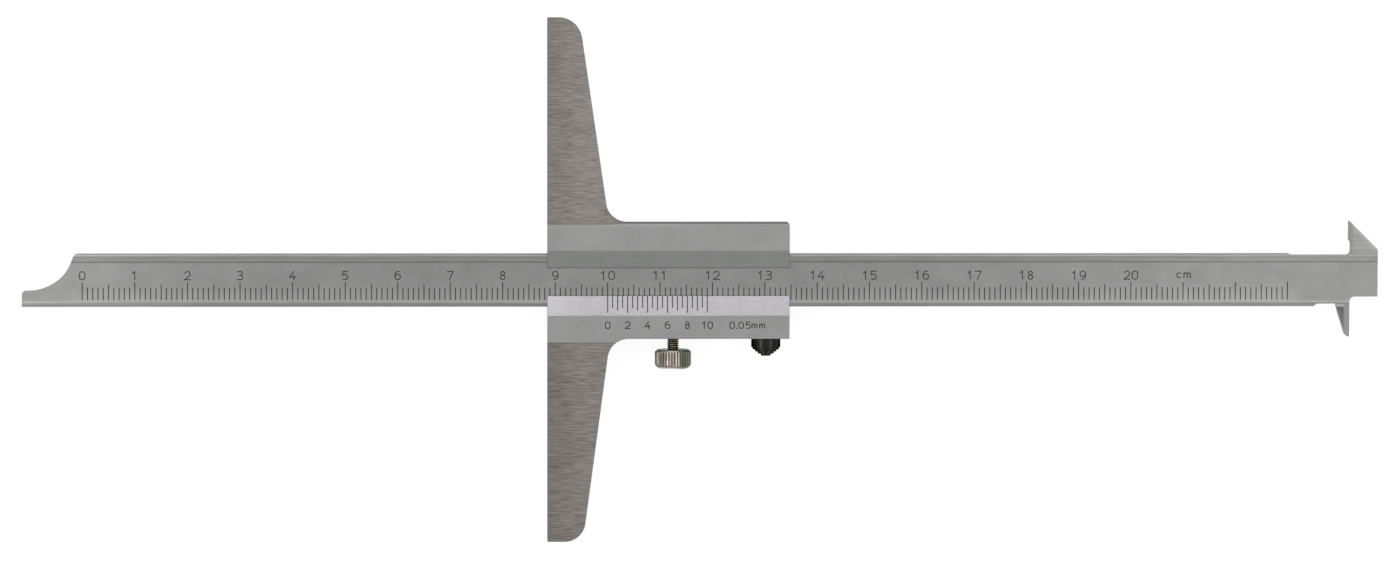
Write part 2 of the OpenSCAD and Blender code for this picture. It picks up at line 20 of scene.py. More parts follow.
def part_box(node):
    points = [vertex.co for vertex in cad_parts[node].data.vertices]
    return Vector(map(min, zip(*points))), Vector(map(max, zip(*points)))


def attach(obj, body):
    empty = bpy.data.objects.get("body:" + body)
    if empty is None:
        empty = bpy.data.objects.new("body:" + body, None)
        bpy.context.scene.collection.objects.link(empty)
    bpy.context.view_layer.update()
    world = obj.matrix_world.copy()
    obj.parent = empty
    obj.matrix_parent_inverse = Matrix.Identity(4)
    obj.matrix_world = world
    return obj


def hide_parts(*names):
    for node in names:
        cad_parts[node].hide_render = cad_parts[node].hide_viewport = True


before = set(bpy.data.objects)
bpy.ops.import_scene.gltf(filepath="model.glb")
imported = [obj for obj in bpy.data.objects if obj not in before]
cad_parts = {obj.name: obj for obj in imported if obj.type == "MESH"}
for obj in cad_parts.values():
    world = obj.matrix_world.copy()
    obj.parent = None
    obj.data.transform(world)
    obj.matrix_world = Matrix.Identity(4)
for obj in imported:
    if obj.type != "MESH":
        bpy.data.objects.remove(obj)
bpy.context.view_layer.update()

MM = 0.001
FULL_TURN = 2 * math.pi
PICTURE_WIDTH_PX = 1400
SENSOR_WIDTH = 36.0
# How soften finds a CAD node's real edges: points this near are one, faces this flat are one,
# and edges that turn by more than this are rounded.
WELD_REACH = 0.001
FLAT_ANGLE = 0.5
EDGE_ANGLE = 10.0
AREA_WEIGHT = 100
# A rounded corner takes less than half of each line beside it.
CORNER_ROOM = 2.01

Span = tuple[float, float]
Triple = tuple[float, float, float]
Colour = tuple[float, float, float]

WHITE: Colour = (1.0, 1.0, 1.0)

log = logging.getLogger("depth_gauge")


class Signal:
    """A number that changes over a surface, held as one output of a shader tree.

    SOFT is half the width of a short step.
    """

    SOFT = 0.02

    def __init__(self, tree: "Tree", socket: bpy.types.NodeSocket) -> None:
        """Holds the tree and the socket."""
        self.tree = tree
        self.socket = socket

    def _math(self, operation: str, first: "Signal | float", second: "Signal | float") -> "Signal":
        """What one Math node gives for two values."""
        node = self.tree.add("ShaderNodeMath", {"operation": operation}, {0: first, 1: second})
        return Signal(self.tree, node.outputs[0])

    def __add__(self, other: "Signal | float") -> "Signal":
        """The sum."""
        return self._math("ADD", self, other)

    def __radd__(self, other: float) -> "Signal":
        """The sum, with a plain number first."""
        return self._math("ADD", other, self)

    def __sub__(self, other: "Signal | float") -> "Signal":
        """The difference."""
        return self._math("SUBTRACT", self, other)

    def __rsub__(self, other: float) -> "Signal":
        """The difference, with a plain number first."""
        return self._math("SUBTRACT", other, self)

    def __mul__(self, other: "Signal | float") -> "Signal":
        """The product."""
        return self._math("MULTIPLY", self, other)

    def __rmul__(self, other: float) -> "Signal":
        """The product, with a plain number first."""
        return self._math("MULTIPLY", other, self)

    def __abs__(self) -> "Signal":
        """The size without its sign."""
        return self._math("ABSOLUTE", self, 0.0)

    def __pow__(self, power: float) -> "Signal":
        """The number raised to a power."""
        return self._math("POWER", self, power)

    def rise(self, start: float, end: float) -> "Signal":
        """Makes a smooth step up.

        Args:
            start: The number at which the step is still 0.
            end: The number at which it has reached 1. Below start, the step goes down.

        Returns:
            The step, from 0 to 1.
        """
        node = self.tree.add("ShaderNodeMapRange", {"interpolation_type": "SMOOTHSTEP"},
                             {"Value": self, "From Min": start, "From Max": end})
        return Signal(self.tree, node.outputs["Result"])

    def step(self, middle: float, soft: float = SOFT) -> "Signal":
        """A short step up round one number, or a step down where soft is below 0."""
        return self.rise(middle - soft, middle + soft)

    def band(self, low: float, high: float, soft: float = SOFT) -> "Signal":
        """1 between two numbers and 0 outside them, with a short step at each."""
        return self.step(low, soft) * (1 - self.step(high, soft))

    def line(self, middle: float, half_width: float) -> "Signal":
        """1 at one number, falling softly to 0 at half a width on both sides."""
        return abs(self - middle).rise(half_width, 0.0)


class Tree:
    """The shader nodes of one material or of the world.

    The MIX numbers are the colour sockets of a Mix node. A face counts as flat from FLAT_FACE and
    as steep from STEEP_FACE, which are upward parts of the way it faces.
    """

    MIX_FACTOR, MIX_FIRST, MIX_SECOND, MIX_RESULT = 0, 6, 7, 2
    NOISE_ROUGHNESS = 0.55
    NOISE_MIDDLE = 0.5
    NOISE_SPREAD = 3.5
    FLAT_FACE, STEEP_FACE = 0.8, 0.4

    def __init__(self, owner: bpy.types.Material | bpy.types.World) -> None:
        """Empties the owner's node tree, to start from nothing.

        Args:
            owner: The material or world.
        """
        owner.use_nodes = True
        self.nodes = owner.node_tree.nodes
        self.links = owner.node_tree.links
        self.nodes.clear()
        self._place: bpy.types.NodeSocket | None = None

    def add(self, kind: str, settings: Mapping[str, object] | None = None,
            inputs: Mapping[str | int, object] | None = None) -> bpy.types.Node:
        """Adds a node.

        Args:
            kind: The node's type.
            settings: Its own settings, which are set before its sockets.
            inputs: Values or links for its sockets, by name or number.

        Returns:
            The new node.
        """
        node = self.nodes.new(kind)
        for name, value in (settings or {}).items():
            setattr(node, name, value)
        for name, value in (inputs or {}).items():
            if isinstance(value, Signal):
                value = value.socket
            if isinstance(value, bpy.types.NodeSocket):
                self.links.new(value, node.inputs[name])
            elif isinstance(value, tuple) and len(node.inputs[name].default_value) > len(value):
                node.inputs[name].default_value = (*value, 1.0)
            else:
                node.inputs[name].default_value = value
        return node

    def split(self, vector: bpy.types.NodeSocket) -> tuple[Signal, Signal, Signal]:
        """Takes a vector apart.

        Args:
            vector: The socket that gives it.

        Returns:
            Its three parts.
        """
        node = self.add("ShaderNodeSeparateXYZ", inputs={0: vector})
        x, y, z = (Signal(self, output) for output in node.outputs)
        return x, y, z

    def place(self) -> bpy.types.NodeSocket:
        """Finds the surface's place on its own piece, once for each tree.

        Returns:
            The place, in millimetres.
        """
        if self._place is None:
            found = self.add("ShaderNodeTexCoord").outputs["Object"]
            node = self.add("ShaderNodeVectorMath", {"operation": "SCALE"}, {0: found, "Scale": 1 / MM})
            self._place = node.outputs[0]
        return self._place

    def facing(self) -> tuple[Signal, Signal, Signal]:
        """The three parts of the way that the surface faces."""
        return self.split(self.add("ShaderNodeTexCoord").outputs["Normal"])

    def sideways(self) -> Signal:
        """1 on faces that look sideways and 0 on those that look up or down."""
        _, _, up = self.facing()
        return abs(up).rise(self.FLAT_FACE, self.STEEP_FACE)

    def noise(self, stretch: Triple, detail: float = 2.0, seed: float = 0.0) -> Signal:
        """Makes cloudy noise over the surface.

        Args:
            stretch: How many clouds there are to a millimetre along X, Y and Z.
            detail: How many finer layers are added.
            seed: A number that gives another piece of the same noise.

        Returns:
            The noise, mostly between -1 and 1.
        """
        vector = self.add("ShaderNodeVectorMath", {"operation": "MULTIPLY_ADD"},
                          {0: self.place(), 1: stretch, 2: (seed, seed, seed)}).outputs[0]
        node = self.add("ShaderNodeTexNoise", {"noise_dimensions": "3D"},
                        {"Vector": vector, "Scale": 1.0, "Detail": detail,
                         "Roughness": self.NOISE_ROUGHNESS})
        return (Signal(self, node.outputs["Fac"]) - self.NOISE_MIDDLE) * self.NOISE_SPREAD

    def shade(self, colour: object, level: Signal) -> bpy.types.NodeSocket:
        """A colour made lighter or darker by a level, where 1 leaves it as it is."""
        return self.add("ShaderNodeVectorMath", {"operation": "SCALE"},
                        {0: colour, "Scale": level}).outputs[0]

    def mix(self, first: object, second: object, factor: Signal) -> bpy.types.NodeSocket:
        """Mixes two colours.

        Args:
            first: The colour at factor 0.
            second: The colour at factor 1.
            factor: How much of the second one shows.

        Returns:
            The mixed colour.
        """
        node = self.add("ShaderNodeMix", {"data_type": "RGBA"},
                        {self.MIX_FACTOR: factor, self.MIX_FIRST: first, self.MIX_SECOND: second})
        return node.outputs[self.MIX_RESULT]


@dataclass
class Surface:
    """What changes over a material: its colour, its roughness and its fine relief."""

    colour: bpy.types.NodeSocket
    roughness: Signal
    relief: Signal

    def toned(self, tree: Tree, level: Signal) -> "Surface":
        """This surface made lighter or darker by a level, where 1 leaves it as it is."""
        return Surface(tree.shade(self.colour, level), self.roughness, self.relief)

    def overlaid(self, tree: Tree, other: "Surface", mask: Signal) -> "Surface":
        """Lays another surface over this one.

        Args:
            tree: The material's nodes.
            other: The surface on top.
            mask: Where the one on top shows.

        Returns:
            The two together.
        """
        return Surface(tree.mix(self.colour, other.colour, mask),
                       self.roughness + mask * (other.roughness - self.roughness),
                       self.relief + mask * (other.relief - self.relief))


@dataclass(frozen=True)
class Line:
    """A soft line along which a finish is paler, or darker where its tone is below 0.

    Fields: how much it changes the tone, and its middle and half its width in millimetres.
    """

    tone: float
    middle: float
    half_w: float

    def on(self, place: Signal, zero: float = 0.0) -> Signal:
        """How much it changes the tone at a place, with its middle counted from zero."""
        return self.tone * place.line(zero + self.middle, self.half_w)


@dataclass(frozen=True)
class Fade:
    """A slow change of a finish to paler, or to darker where its tone is below 0.

    Fields: how much it changes the tone, and where it starts and ends in millimetres.
    """

    tone: float
    start: float
    end: float

    def on(self, place: Signal, zero: float = 0.0) -> Signal:
        """How much it changes the tone at a place, with its start and end counted from zero."""
        return self.tone * place.rise(zero + self.start, zero + self.end)


class Grain(Enum):
    """Which way the marks of the last grinding run, as the share of their spacing on each axis."""

    ALONG_X = (0.03, 1.0, 1.0)
    SHORT_X = (0.1, 1.0, 1.0)
    ALONG_Y = (1.0, 0.03, 1.0)
    BLASTED = (1.0, 1.0, 1.0)


@dataclass(frozen=True)
class Ground:
    """One ground or blasted metal surface.

    Fields: its colour, its roughness, the way and number to a millimetre of its marks, how much
    the marks and the clouds of handling change its tone, the depth of its marks, the share of
    them that is coarse, and the seed of its noise. Coarse marks are COARSER times as wide, and
    the two ROUGHNESS shares say how far a change of tone changes the roughness too.
    """

    COARSER = 4
    FINE_DETAIL, COARSE_DETAIL, CLOUD_DETAIL = 3.0, 2.0, 4.0
    COARSE_SEED, CLOUD_SEED = 7, 13
    CLOUD_STRETCH = (0.16, 0.22, 0.2)
    MARK_ROUGHNESS, CLOUD_ROUGHNESS = 0.25, 0.6

    colour: Colour
    roughness: float
    grain: Grain
    marks: float
    mark_tone: float
    cloud_tone: float
    depth: float = 1.0
    coarse_share: float = 0.4
    seed: float = 0.0

    def surface(self, tree: Tree) -> Surface:
        """Builds the surface.

        Args:
            tree: The material's nodes.

        Returns:
            The surface with its marks and clouds.
        """
        fine_stretch = tuple(self.marks * share for share in self.grain.value)
        coarse_stretch = tuple(self.marks / self.COARSER * share for share in self.grain.value)
        fine = tree.noise(fine_stretch, self.FINE_DETAIL, self.seed)
        coarse = tree.noise(coarse_stretch, self.COARSE_DETAIL, self.seed + self.COARSE_SEED)
        cloud = tree.noise(self.CLOUD_STRETCH, self.CLOUD_DETAIL, self.seed + self.CLOUD_SEED)
        marks = fine * (1 - self.coarse_share) + coarse * self.coarse_share
        tone = 1 + marks * self.mark_tone + cloud * self.cloud_tone
        roughness = (self.roughness + marks * (self.MARK_ROUGHNESS * self.mark_tone)
                     + cloud * (self.CLOUD_ROUGHNESS * self.cloud_tone))
        return Surface(tree.shade(self.colour, tone), roughness, marks * self.depth)


@dataclass(frozen=True, kw_only=True)
class Finish:
    """A material: a surface, and a few settings that are the same all over it.

    Fields: its name, 1 for bare metal or 0 for paint, how strongly paint reflects, where 0.5 is
    plain, and the tint of what bare metal reflects near its outline.
    """

    RELIEF = 0.0012 * MM

    name: str
    metallic: float = 1.0
    gloss: float = 0.5
    glancing: Colour = WHITE

    def surface(self, tree: Tree) -> Surface:
        """The surface, which each finish builds in its own way."""
        raise NotImplementedError(self.name)

    def material(self) -> bpy.types.Material:
        """Makes the material.

        Returns:
            The material.
        """
        material = bpy.data.materials.new(self.name)
        tree = Tree(material)
        surface = self.surface(tree)
        bump = tree.add("ShaderNodeBump", inputs={"Strength": 1.0, "Distance": self.RELIEF,
                                                  "Height": surface.relief})
        shader = tree.add("ShaderNodeBsdfPrincipled", inputs={
            "Base Color": surface.colour, "Roughness": surface.roughness,
            "Metallic": self.metallic, "Specular IOR Level": self.gloss,
            "Specular Tint": self.glancing, "Normal": bump.outputs[0]})
        tree.add("ShaderNodeOutputMaterial", inputs={"Surface": shader.outputs[0]})
        return material

    def dress(self, pieces: Sequence[bpy.types.Object]) -> None:
        """Gives pieces the material, all over.

        Args:
            pieces: The pieces, which share one material.
        """
        material = self.material()
        for piece in pieces:
            if not piece.material_slots:
                piece.data.materials.append(material)
            for slot in piece.material_slots:
                slot.material = material


@dataclass(frozen=True, kw_only=True)
class PlainFinish(Finish):
    """A finish with one ground all over."""

    ground: Ground

    def surface(self, tree: Tree) -> Surface:
        """The ground by itself."""
        return self.ground.surface(tree)


def soften(piece: bpy.types.Object, width: float, segments: int = 2) -> None:
    """Rounds a CAD node's sharp edges without changing its mesh.

    Args:
        piece: The node's object.
        width: Width of the rounding, in millimetres.
        segments: Number of faces across it.
    """
    weld = piece.modifiers.new("weld", "WELD")
    weld.merge_threshold = WELD_REACH * MM
    flat = piece.modifiers.new("flat_faces", "DECIMATE")
    flat.decimate_type = "DISSOLVE"
    flat.angle_limit = math.radians(FLAT_ANGLE)
    edge = piece.modifiers.new("broken_edges", "BEVEL")
    edge.width = width * MM
    edge.segments = segments
    edge.limit_method = "ANGLE"
    edge.angle_limit = math.radians(EDGE_ANGLE)
    edge.use_clamp_overlap = False
    even = piece.modifiers.new("flat_shading", "WEIGHTED_NORMAL")
    even.mode = "FACE_AREA"
    even.weight = AREA_WEIGHT
    even.keep_sharp = False
    for polygon in piece.data.polygons:
        polygon.use_smooth = True


def skin(name: str, rings: Sequence[Sequence[Vector]], sharp_angle: float) -> bpy.types.Object:
    """Closes rings of points into one solid.

    Args:
        name: The new piece's name.
        rings: Rings of as many points each, from one end of the solid to the other.
        sharp_angle: Edges that turn by more than this many degrees stay sharp.

    Returns:
        The piece, with quads between its rings and a fan on each end.
    """
    mesh = bmesh.new()
    grid = [[mesh.verts.new(point) for point in ring] for ring in rings]
    count = len(rings[0])
    for row, following in zip(grid, grid[1:]):
        for i in range(count):
            mesh.faces.new((row[i], row[(i + 1) % count], following[(i + 1) % count], following[i]))
    for ring in (grid[0], grid[-1]):
        middle = mesh.verts.new(sum((v.co for v in ring), Vector()) / count)
        for i in range(count):
            mesh.faces.new((ring[i], ring[(i + 1) % count], middle))
    bmesh.ops.recalc_face_normals(mesh, faces=mesh.faces)
    data = bpy.data.meshes.new(name)
    mesh.to_mesh(data)
    mesh.free()
    data.shade_smooth()
    data.set_sharp_from_angle(angle=math.radians(sharp_angle))
    piece = bpy.data.objects.new(name, data)
    bpy.context.scene.collection.objects.link(piece)
    return piece


def rounded(profile: Sequence[Triple], steps: int = 4) -> list[Span]:
    """Rounds the corners of a turned profile.

    Args:
        profile: Corners as (along, radius, rounding), in millimetres.
        steps: Number of short edges that make each round corner.

    Returns:
        The profile's points as (along, radius).
    """
    points = [(profile[0][0], profile[0][1])]
    for before, corner, after in zip(profile, profile[1:], profile[2:]):
        here = Vector(corner[:2])
        back, ahead = Vector(before[:2]) - here, Vector(after[:2]) - here
        reach = min(corner[2], back.length / CORNER_ROOM, ahead.length / CORNER_ROOM)
        start, end = here + back.normalized() * reach, here + ahead.normalized() * reach
        for i in range(steps + 1):
            t = i / steps
            point = start * (1 - t) ** 2 + here * 2 * t * (1 - t) + end * t ** 2
            points.append((point.x, point.y))
    points.append((profile[-1][0], profile[-1][1]))
    return points


@dataclass(frozen=True)
class RoundNode:
    """A round CAD node about a screw's axis, which runs along +Y from the head to the beam.

    Fields: the axis's X and Z, the node's radius, and the Y of its outer and of its inner end,
    all in metres.
    """

    x: float
    z: float
    radius: float
    outer_y: float
    inner_y: float

    @classmethod
    def of(cls, node: str) -> "RoundNode":
        """Measures a CAD node."""
        low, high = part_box(node)
        return cls((low.x + high.x) / 2, (low.z + high.z) / 2, (high.x - low.x) / 2, low.y, high.y)

    def point(self, along: float, radius: float, angle: float) -> Vector:
        """The point at a Y and a radius, in metres, and a turn from +Z to +X, in radians."""
        return Vector((self.x + radius * math.sin(angle), along, self.z + radius * math.cos(angle)))

    def distance(self, tree: Tree) -> Signal:
        """Measures how far the surface lies from the axis.

        Args:
            tree: The material's nodes.

        Returns:
            The distance, in millimetres.
        """
        x, _, z = tree.split(tree.place())
        across, up = x - self.x / MM, z - self.z / MM
        return (across * across + up * up) ** 0.5


@dataclass(frozen=True, kw_only=True)
class OiledSteel(Finish):
    """The stems' finish: dark oiled steel, cleaner on the thread's crests; the dark oil in the grooves
    is partly painted shade.

    Fields: the stem, the distances from its axis at which oil starts and at which it covers all,
    in millimetres, the bare steel and the oil.
    """

    stem: RoundNode
    groove: Span
    bare: Ground = Ground((0.5, 0.465, 0.345), 0.26, Grain.BLASTED,
                          marks=5.0, mark_tone=0.2, cloud_tone=0.12)
    # Dark oil in the thread's grooves: partly real oil and partly painted shade.
    oil: Ground = Ground((0.05, 0.052, 0.032), 0.4, Grain.BLASTED,
                         marks=4.0, mark_tone=0.15, cloud_tone=0.1, depth=0.4, seed=3)

    def surface(self, tree: Tree) -> Surface:
        """The steel with dark oil, partly painted shade, in its grooves."""
        # Oil colour from just below the crests down: partly painted shade in the grooves.
        in_groove = self.stem.distance(tree).rise(*self.groove)
        return self.bare.surface(tree).overlaid(tree, self.oil.surface(tree), in_groove)


@dataclass
class ThreadedStem:
    """A screw's stem with a right-handed thread cut into it. Sizes are in millimetres."""

    name: str
    node: str
    body: str
    pitch: float = 0.4
    thread_h: float = 0.18
    crest_share: float = 0.18
    root_share: float = 0.8
    columns: int = 40
    rows_per_turn: int = 10
    runout_turns: float = 0.8
    shank_l: float = 1.5
    shank_r: float = 0.75
    end_chamfer: float = 0.25
    sharp_angle: float = 50.0
    clean_crest: float = 0.03
    oil_share: float = 0.8

    def depth(self, along: float, angle: float, low: float, high: float) -> float:
        """Works out how deep the thread is cut at a point.

        Args:
            along: The point's place along the screw, in metres.
            angle: Its turn about the axis, in radians.
            low: Where the thread starts, in metres.
            high: Where it ends, in metres.

        Returns:
            The depth below the outer diameter, in metres.
        """
        phase = ((along - low) / (self.pitch * MM) - angle / FULL_TURN) % 1.0
        from_crest = abs(2 * phase - 1)
        cut = (from_crest - self.crest_share) / (self.root_share - self.crest_share)
        cut = min(max(cut, 0.0), 1.0)
        to_end = min(along - low, high - along) / (self.runout_turns * self.pitch * MM)
        fade = min(max(to_end, 0.0), 1.0)
        return self.thread_h * MM * (1 - fade * (1 - cut))

    def cut(self) -> bpy.types.Object:
        """Makes the stem, with its plain shank inside the head.

        Returns:
            The stem, riding on its screw.
        """
        stem = RoundNode.of(self.node)
        start, end = stem.outer_y + self.shank_l * MM, stem.inner_y
        core = stem.radius - self.thread_h * MM
        angles = [FULL_TURN * i / self.columns for i in range(self.columns)]
        rings = [[stem.point(along, self.shank_r * MM, a) for a in angles]
                 for along in (stem.outer_y, start)]
        rows = int((end - start) / (self.pitch * MM) * self.rows_per_turn)
        for row in range(rows + 1):
            along = start + (end - start) * row / rows
            rings.append([stem.point(along, stem.radius - self.depth(along, a, start, end), a)
                          for a in angles])
        rings.append([stem.point(end, core - self.end_chamfer * MM, a) for a in angles])
        piece = skin(self.name, rings, self.sharp_angle)
        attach(piece, self.body)
        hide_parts(self.node)
        return piece

    def finish(self) -> OiledSteel:
        """Chooses the finish, with dark oil, partly painted shade, from just below the thread's crests.

        Returns:
            The finish.
        """
        stem = RoundNode.of(self.node)
        outer = stem.radius / MM
        groove = (outer - self.clean_crest, outer - self.thread_h * self.oil_share)
        return OiledSteel(name=self.name, stem=stem, groove=groove)

    def build(self) -> bpy.types.Object:
        """Builds and dresses the stem.

        Returns:
            The stem.
        """
        piece = self.cut()
        self.finish().dress([piece])
        return piece


@dataclass(frozen=True, kw_only=True)
class KnurledNickel(Finish):
    """The knurled head's finish: warm bright plating with painted highlight and painted shade, tarnish
    on its inner face, and dirty knurls.

    Fields: the head, the distances from its axis at which dirt starts and at which it covers all,
    the knurls' ends along Y, and what the layers are and where they lie. Sizes are in
    millimetres, and those of lines and fades are counted from the axis along X. The front
    highlight is painted across the head's middle, the edge shade is painted shade at its left
    edge, and the side shade is painted shade in the tarnish colour on its +X side.
    """

    name: str = "bright_nickel"
    head: RoundNode
    groove: Span
    knurl_ends: Span
    knurl_soft: float = 0.1
    plate: Ground = Ground((0.61, 0.556, 0.497), 0.24, Grain.BLASTED,
                           marks=4.0, mark_tone=0.16, cloud_tone=0.12)
    dirt: Ground = Ground((0.08, 0.072, 0.058), 0.5, Grain.BLASTED,
                          marks=5.0, mark_tone=0.2, cloud_tone=0.2, seed=5)
    # Tarnish colour: real tarnish on the inner face, painted shade on the +X side.
    tarnish: Ground = Ground((0.146, 0.154, 0.118), 0.42, Grain.BLASTED,
                             marks=3.0, mark_tone=0.3, cloud_tone=0.25, seed=11)
    plate_tone: float = 0.82
    # Painted highlight across the head's middle, and painted shade at its left edge.
    front_highlight: Line = Line(0.36, -0.2, 2.4)
    edge_shade: Line = Line(-0.36, -2.9, 0.8)
    # Painted shade on the +X side, in the tarnish colour.
    side_shade: Fade = Fade(0.8, 0.5, 1.9)
    end_tarnish: float = 0.85
    end_facing: Span = (0.75, 0.95)
    dirt_cover: float = 0.72
    patch_stretch: Triple = (0.5, 0.3, 0.5)
    patch_seed: float = 19
    side_patches: float = 0.3
    end_patches: float = 0.2
    dirt_patches: float = 0.35

    def surface(self, tree: Tree) -> Surface:
        """Lays tarnish, painted shade in the tarnish colour, and dirt in patches over plating with a
        painted highlight and painted shade.

        Args:
            tree: The material's nodes.

        Returns:
            The whole surface.
        """
        x, along, _ = tree.split(tree.place())
        _, inwards, _ = tree.facing()
        axis_x = self.head.x / MM
        patches = tree.noise(self.patch_stretch, seed=self.patch_seed)
        on_end = inwards.rise(*self.end_facing) * (self.end_tarnish + patches * self.end_patches)
        # Painted shade on the +X side.
        on_side = self.side_shade.on(x + patches * self.side_patches, axis_x)
        # Real tarnish on the inner face together with painted shade on the +X side.
        tarnish_and_shade = 1 - (1 - on_end) * (1 - on_side)
        in_groove = self.head.distance(tree).rise(*self.groove)
        between_ridges = in_groove * along.band(*self.knurl_ends, self.knurl_soft)
        dirty = between_ridges * (self.dirt_cover + patches * self.dirt_patches)
        # Painted highlight across the middle and painted shade at the left edge.
        lit_plate_tone = self.plate_tone + self.front_highlight.on(x, axis_x) + self.edge_shade.on(x, axis_x)
        whole = self.plate.surface(tree).toned(tree, lit_plate_tone)
        whole = whole.overlaid(tree, self.tarnish.surface(tree), tarnish_and_shade)
        return whole.overlaid(tree, self.dirt.surface(tree), dirty)


@dataclass
class LockScrew:
    """The knurled lock screw. Sizes are in millimetres.

    corners holds the roundings of the head's corners, from its outer face to its inner one.
    """

    knurls: int = 36
    knurl_h: float = 0.2
    ridge_power: float = 0.75
    points_per_knurl: int = 8
    chamfer_in: float = 0.42
    chamfer_out: float = 0.6
    outer_face_r: float = 0.9
    inner_face_r: float = 1.25
    corners: tuple[float, float, float, float] = (0.14, 0.2, 0.14, 0.1)
    sharp_angle: float = 40.0
    clean_crest: float = 0.02
    dirt_share: float = 0.9
    clean_out_share: float = 0.6
    clean_in_share: float = 0.7

    def ridge(self, angle: float) -> float:
        """Depth of the knurl at an angle, from 0 on a ridge to 1 in a groove."""
        phase = (angle * self.knurls / FULL_TURN) % 1.0
        return (0.5 - 0.5 * math.cos(FULL_TURN * phase)) ** self.ridge_power

    def head(self) -> bpy.types.Object:
        """Makes the knurled head.

        Returns:
            The head, riding on the screw.
        """
        head = RoundNode.of("lock_screw_head")
        outer, length = head.radius / MM, (head.inner_y - head.outer_y) / MM
        outer_corner, outer_rim, inner_rim, inner_corner = self.corners
        profile = rounded([(0, self.outer_face_r, 0),
                           (0, outer - self.chamfer_out, outer_corner),
                           (self.chamfer_out, outer, outer_rim),
                           (length - self.chamfer_in, outer, inner_rim),
                           (length, outer - self.chamfer_in, inner_corner),
                           (length, self.inner_face_r, 0)])
        count = self.knurls * self.points_per_knurl
        angles = [FULL_TURN * i / count for i in range(count)]
        cuts = [outer - self.knurl_h * self.ridge(angle) for angle in angles]
        rings = [[head.point(head.outer_y + along * MM, min(radius, cut) * MM, angle)
                  for angle, cut in zip(angles, cuts)] for along, radius in profile]
        piece = skin("lock_screw_knurled_head", rings, self.sharp_angle)
        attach(piece, "lock_screw")
        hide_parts("lock_screw_head")
        return piece

    def finish(self) -> KnurledNickel:
        """Chooses the head's finish, with dirt between the ridges and between the chamfers.

        Returns:
            The finish.
        """
        head = RoundNode.of("lock_screw_head")
        outer = head.radius / MM
        groove = (outer - self.clean_crest, outer - self.knurl_h * self.dirt_share)
        knurl_ends = (head.outer_y / MM + self.chamfer_out * self.clean_out_share,
                      head.inner_y / MM - self.chamfer_in * self.clean_in_share)
        return KnurledNickel(head=head, groove=groove, knurl_ends=knurl_ends)

    def build(self) -> list[bpy.types.Object]:
        """Builds and dresses the screw.

        Returns:
            Its stem and its head.
        """
        stem = ThreadedStem("lock_screw_thread", "lock_screw_stem", "lock_screw").build()
        head = self.head()
        self.finish().dress([head])
        return [stem, head]


@dataclass
class DragScrew:
    """The drag screw with its black stepped head. Sizes are in millimetres."""

    cone_h: float = 1.65
    end_d: float = 1.9
    step_shares: tuple[float, ...] = (0.14, 0.4, 0.68, 1.0)
    outer_face_r: float = 0.3
    inner_face_r: float = 1.2
    rim_rounding: float = 0.05
    step_rounding: float = 0.03
    end_rounding: float = 0.08
    columns: int = 96
    sharp_angle: float = 50.0
    finish: PlainFinish = PlainFinish(
        name="black_gloss", glancing=(0.1, 0.1, 0.1),
        ground=Ground((0.031, 0.0325, 0.0265), 0.29, Grain.ALONG_X,
                      marks=6.0, mark_tone=0.3, cloud_tone=0.3, depth=0.5))

    def head(self) -> bpy.types.Object:
        """Makes the stepped head.

        Returns:
            The head, riding on the screw.
        """
        head = RoundNode.of("drag_screw_head")
        outer, length = head.radius / MM, (head.inner_y - head.outer_y) / MM
        taper = outer - self.end_d / 2
        profile = [(length, self.inner_face_r, 0), (length, outer, self.rim_rounding)]
        radius = outer
        for i, share in enumerate(self.step_shares):
            along = self.cone_h * (1 - i / len(self.step_shares))
            profile.append((along, radius, self.rim_rounding))
            radius = outer - share * taper
            profile.append((along, radius, self.step_rounding))
        profile += [(0, self.end_d / 2, self.end_rounding), (0, self.outer_face_r, 0)]
        rings = [[head.point(head.outer_y + along * MM, radius * MM, FULL_TURN * i / self.columns)
                  for i in range(self.columns)] for along, radius in rounded(profile)]
        piece = skin("drag_screw_stepped_head", rings, self.sharp_angle)
        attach(piece, "drag_screw")
        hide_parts("drag_screw_head")
        return piece

    def build(self) -> list[bpy.types.Object]:
        """Builds and dresses the screw.

        Returns:
            Its stem and its head.
        """
        stem = ThreadedStem("drag_screw_thread", "drag_screw_stem", "drag_screw").build()
        head = self.head()
        self.finish.dress([head])
        return [stem, head]


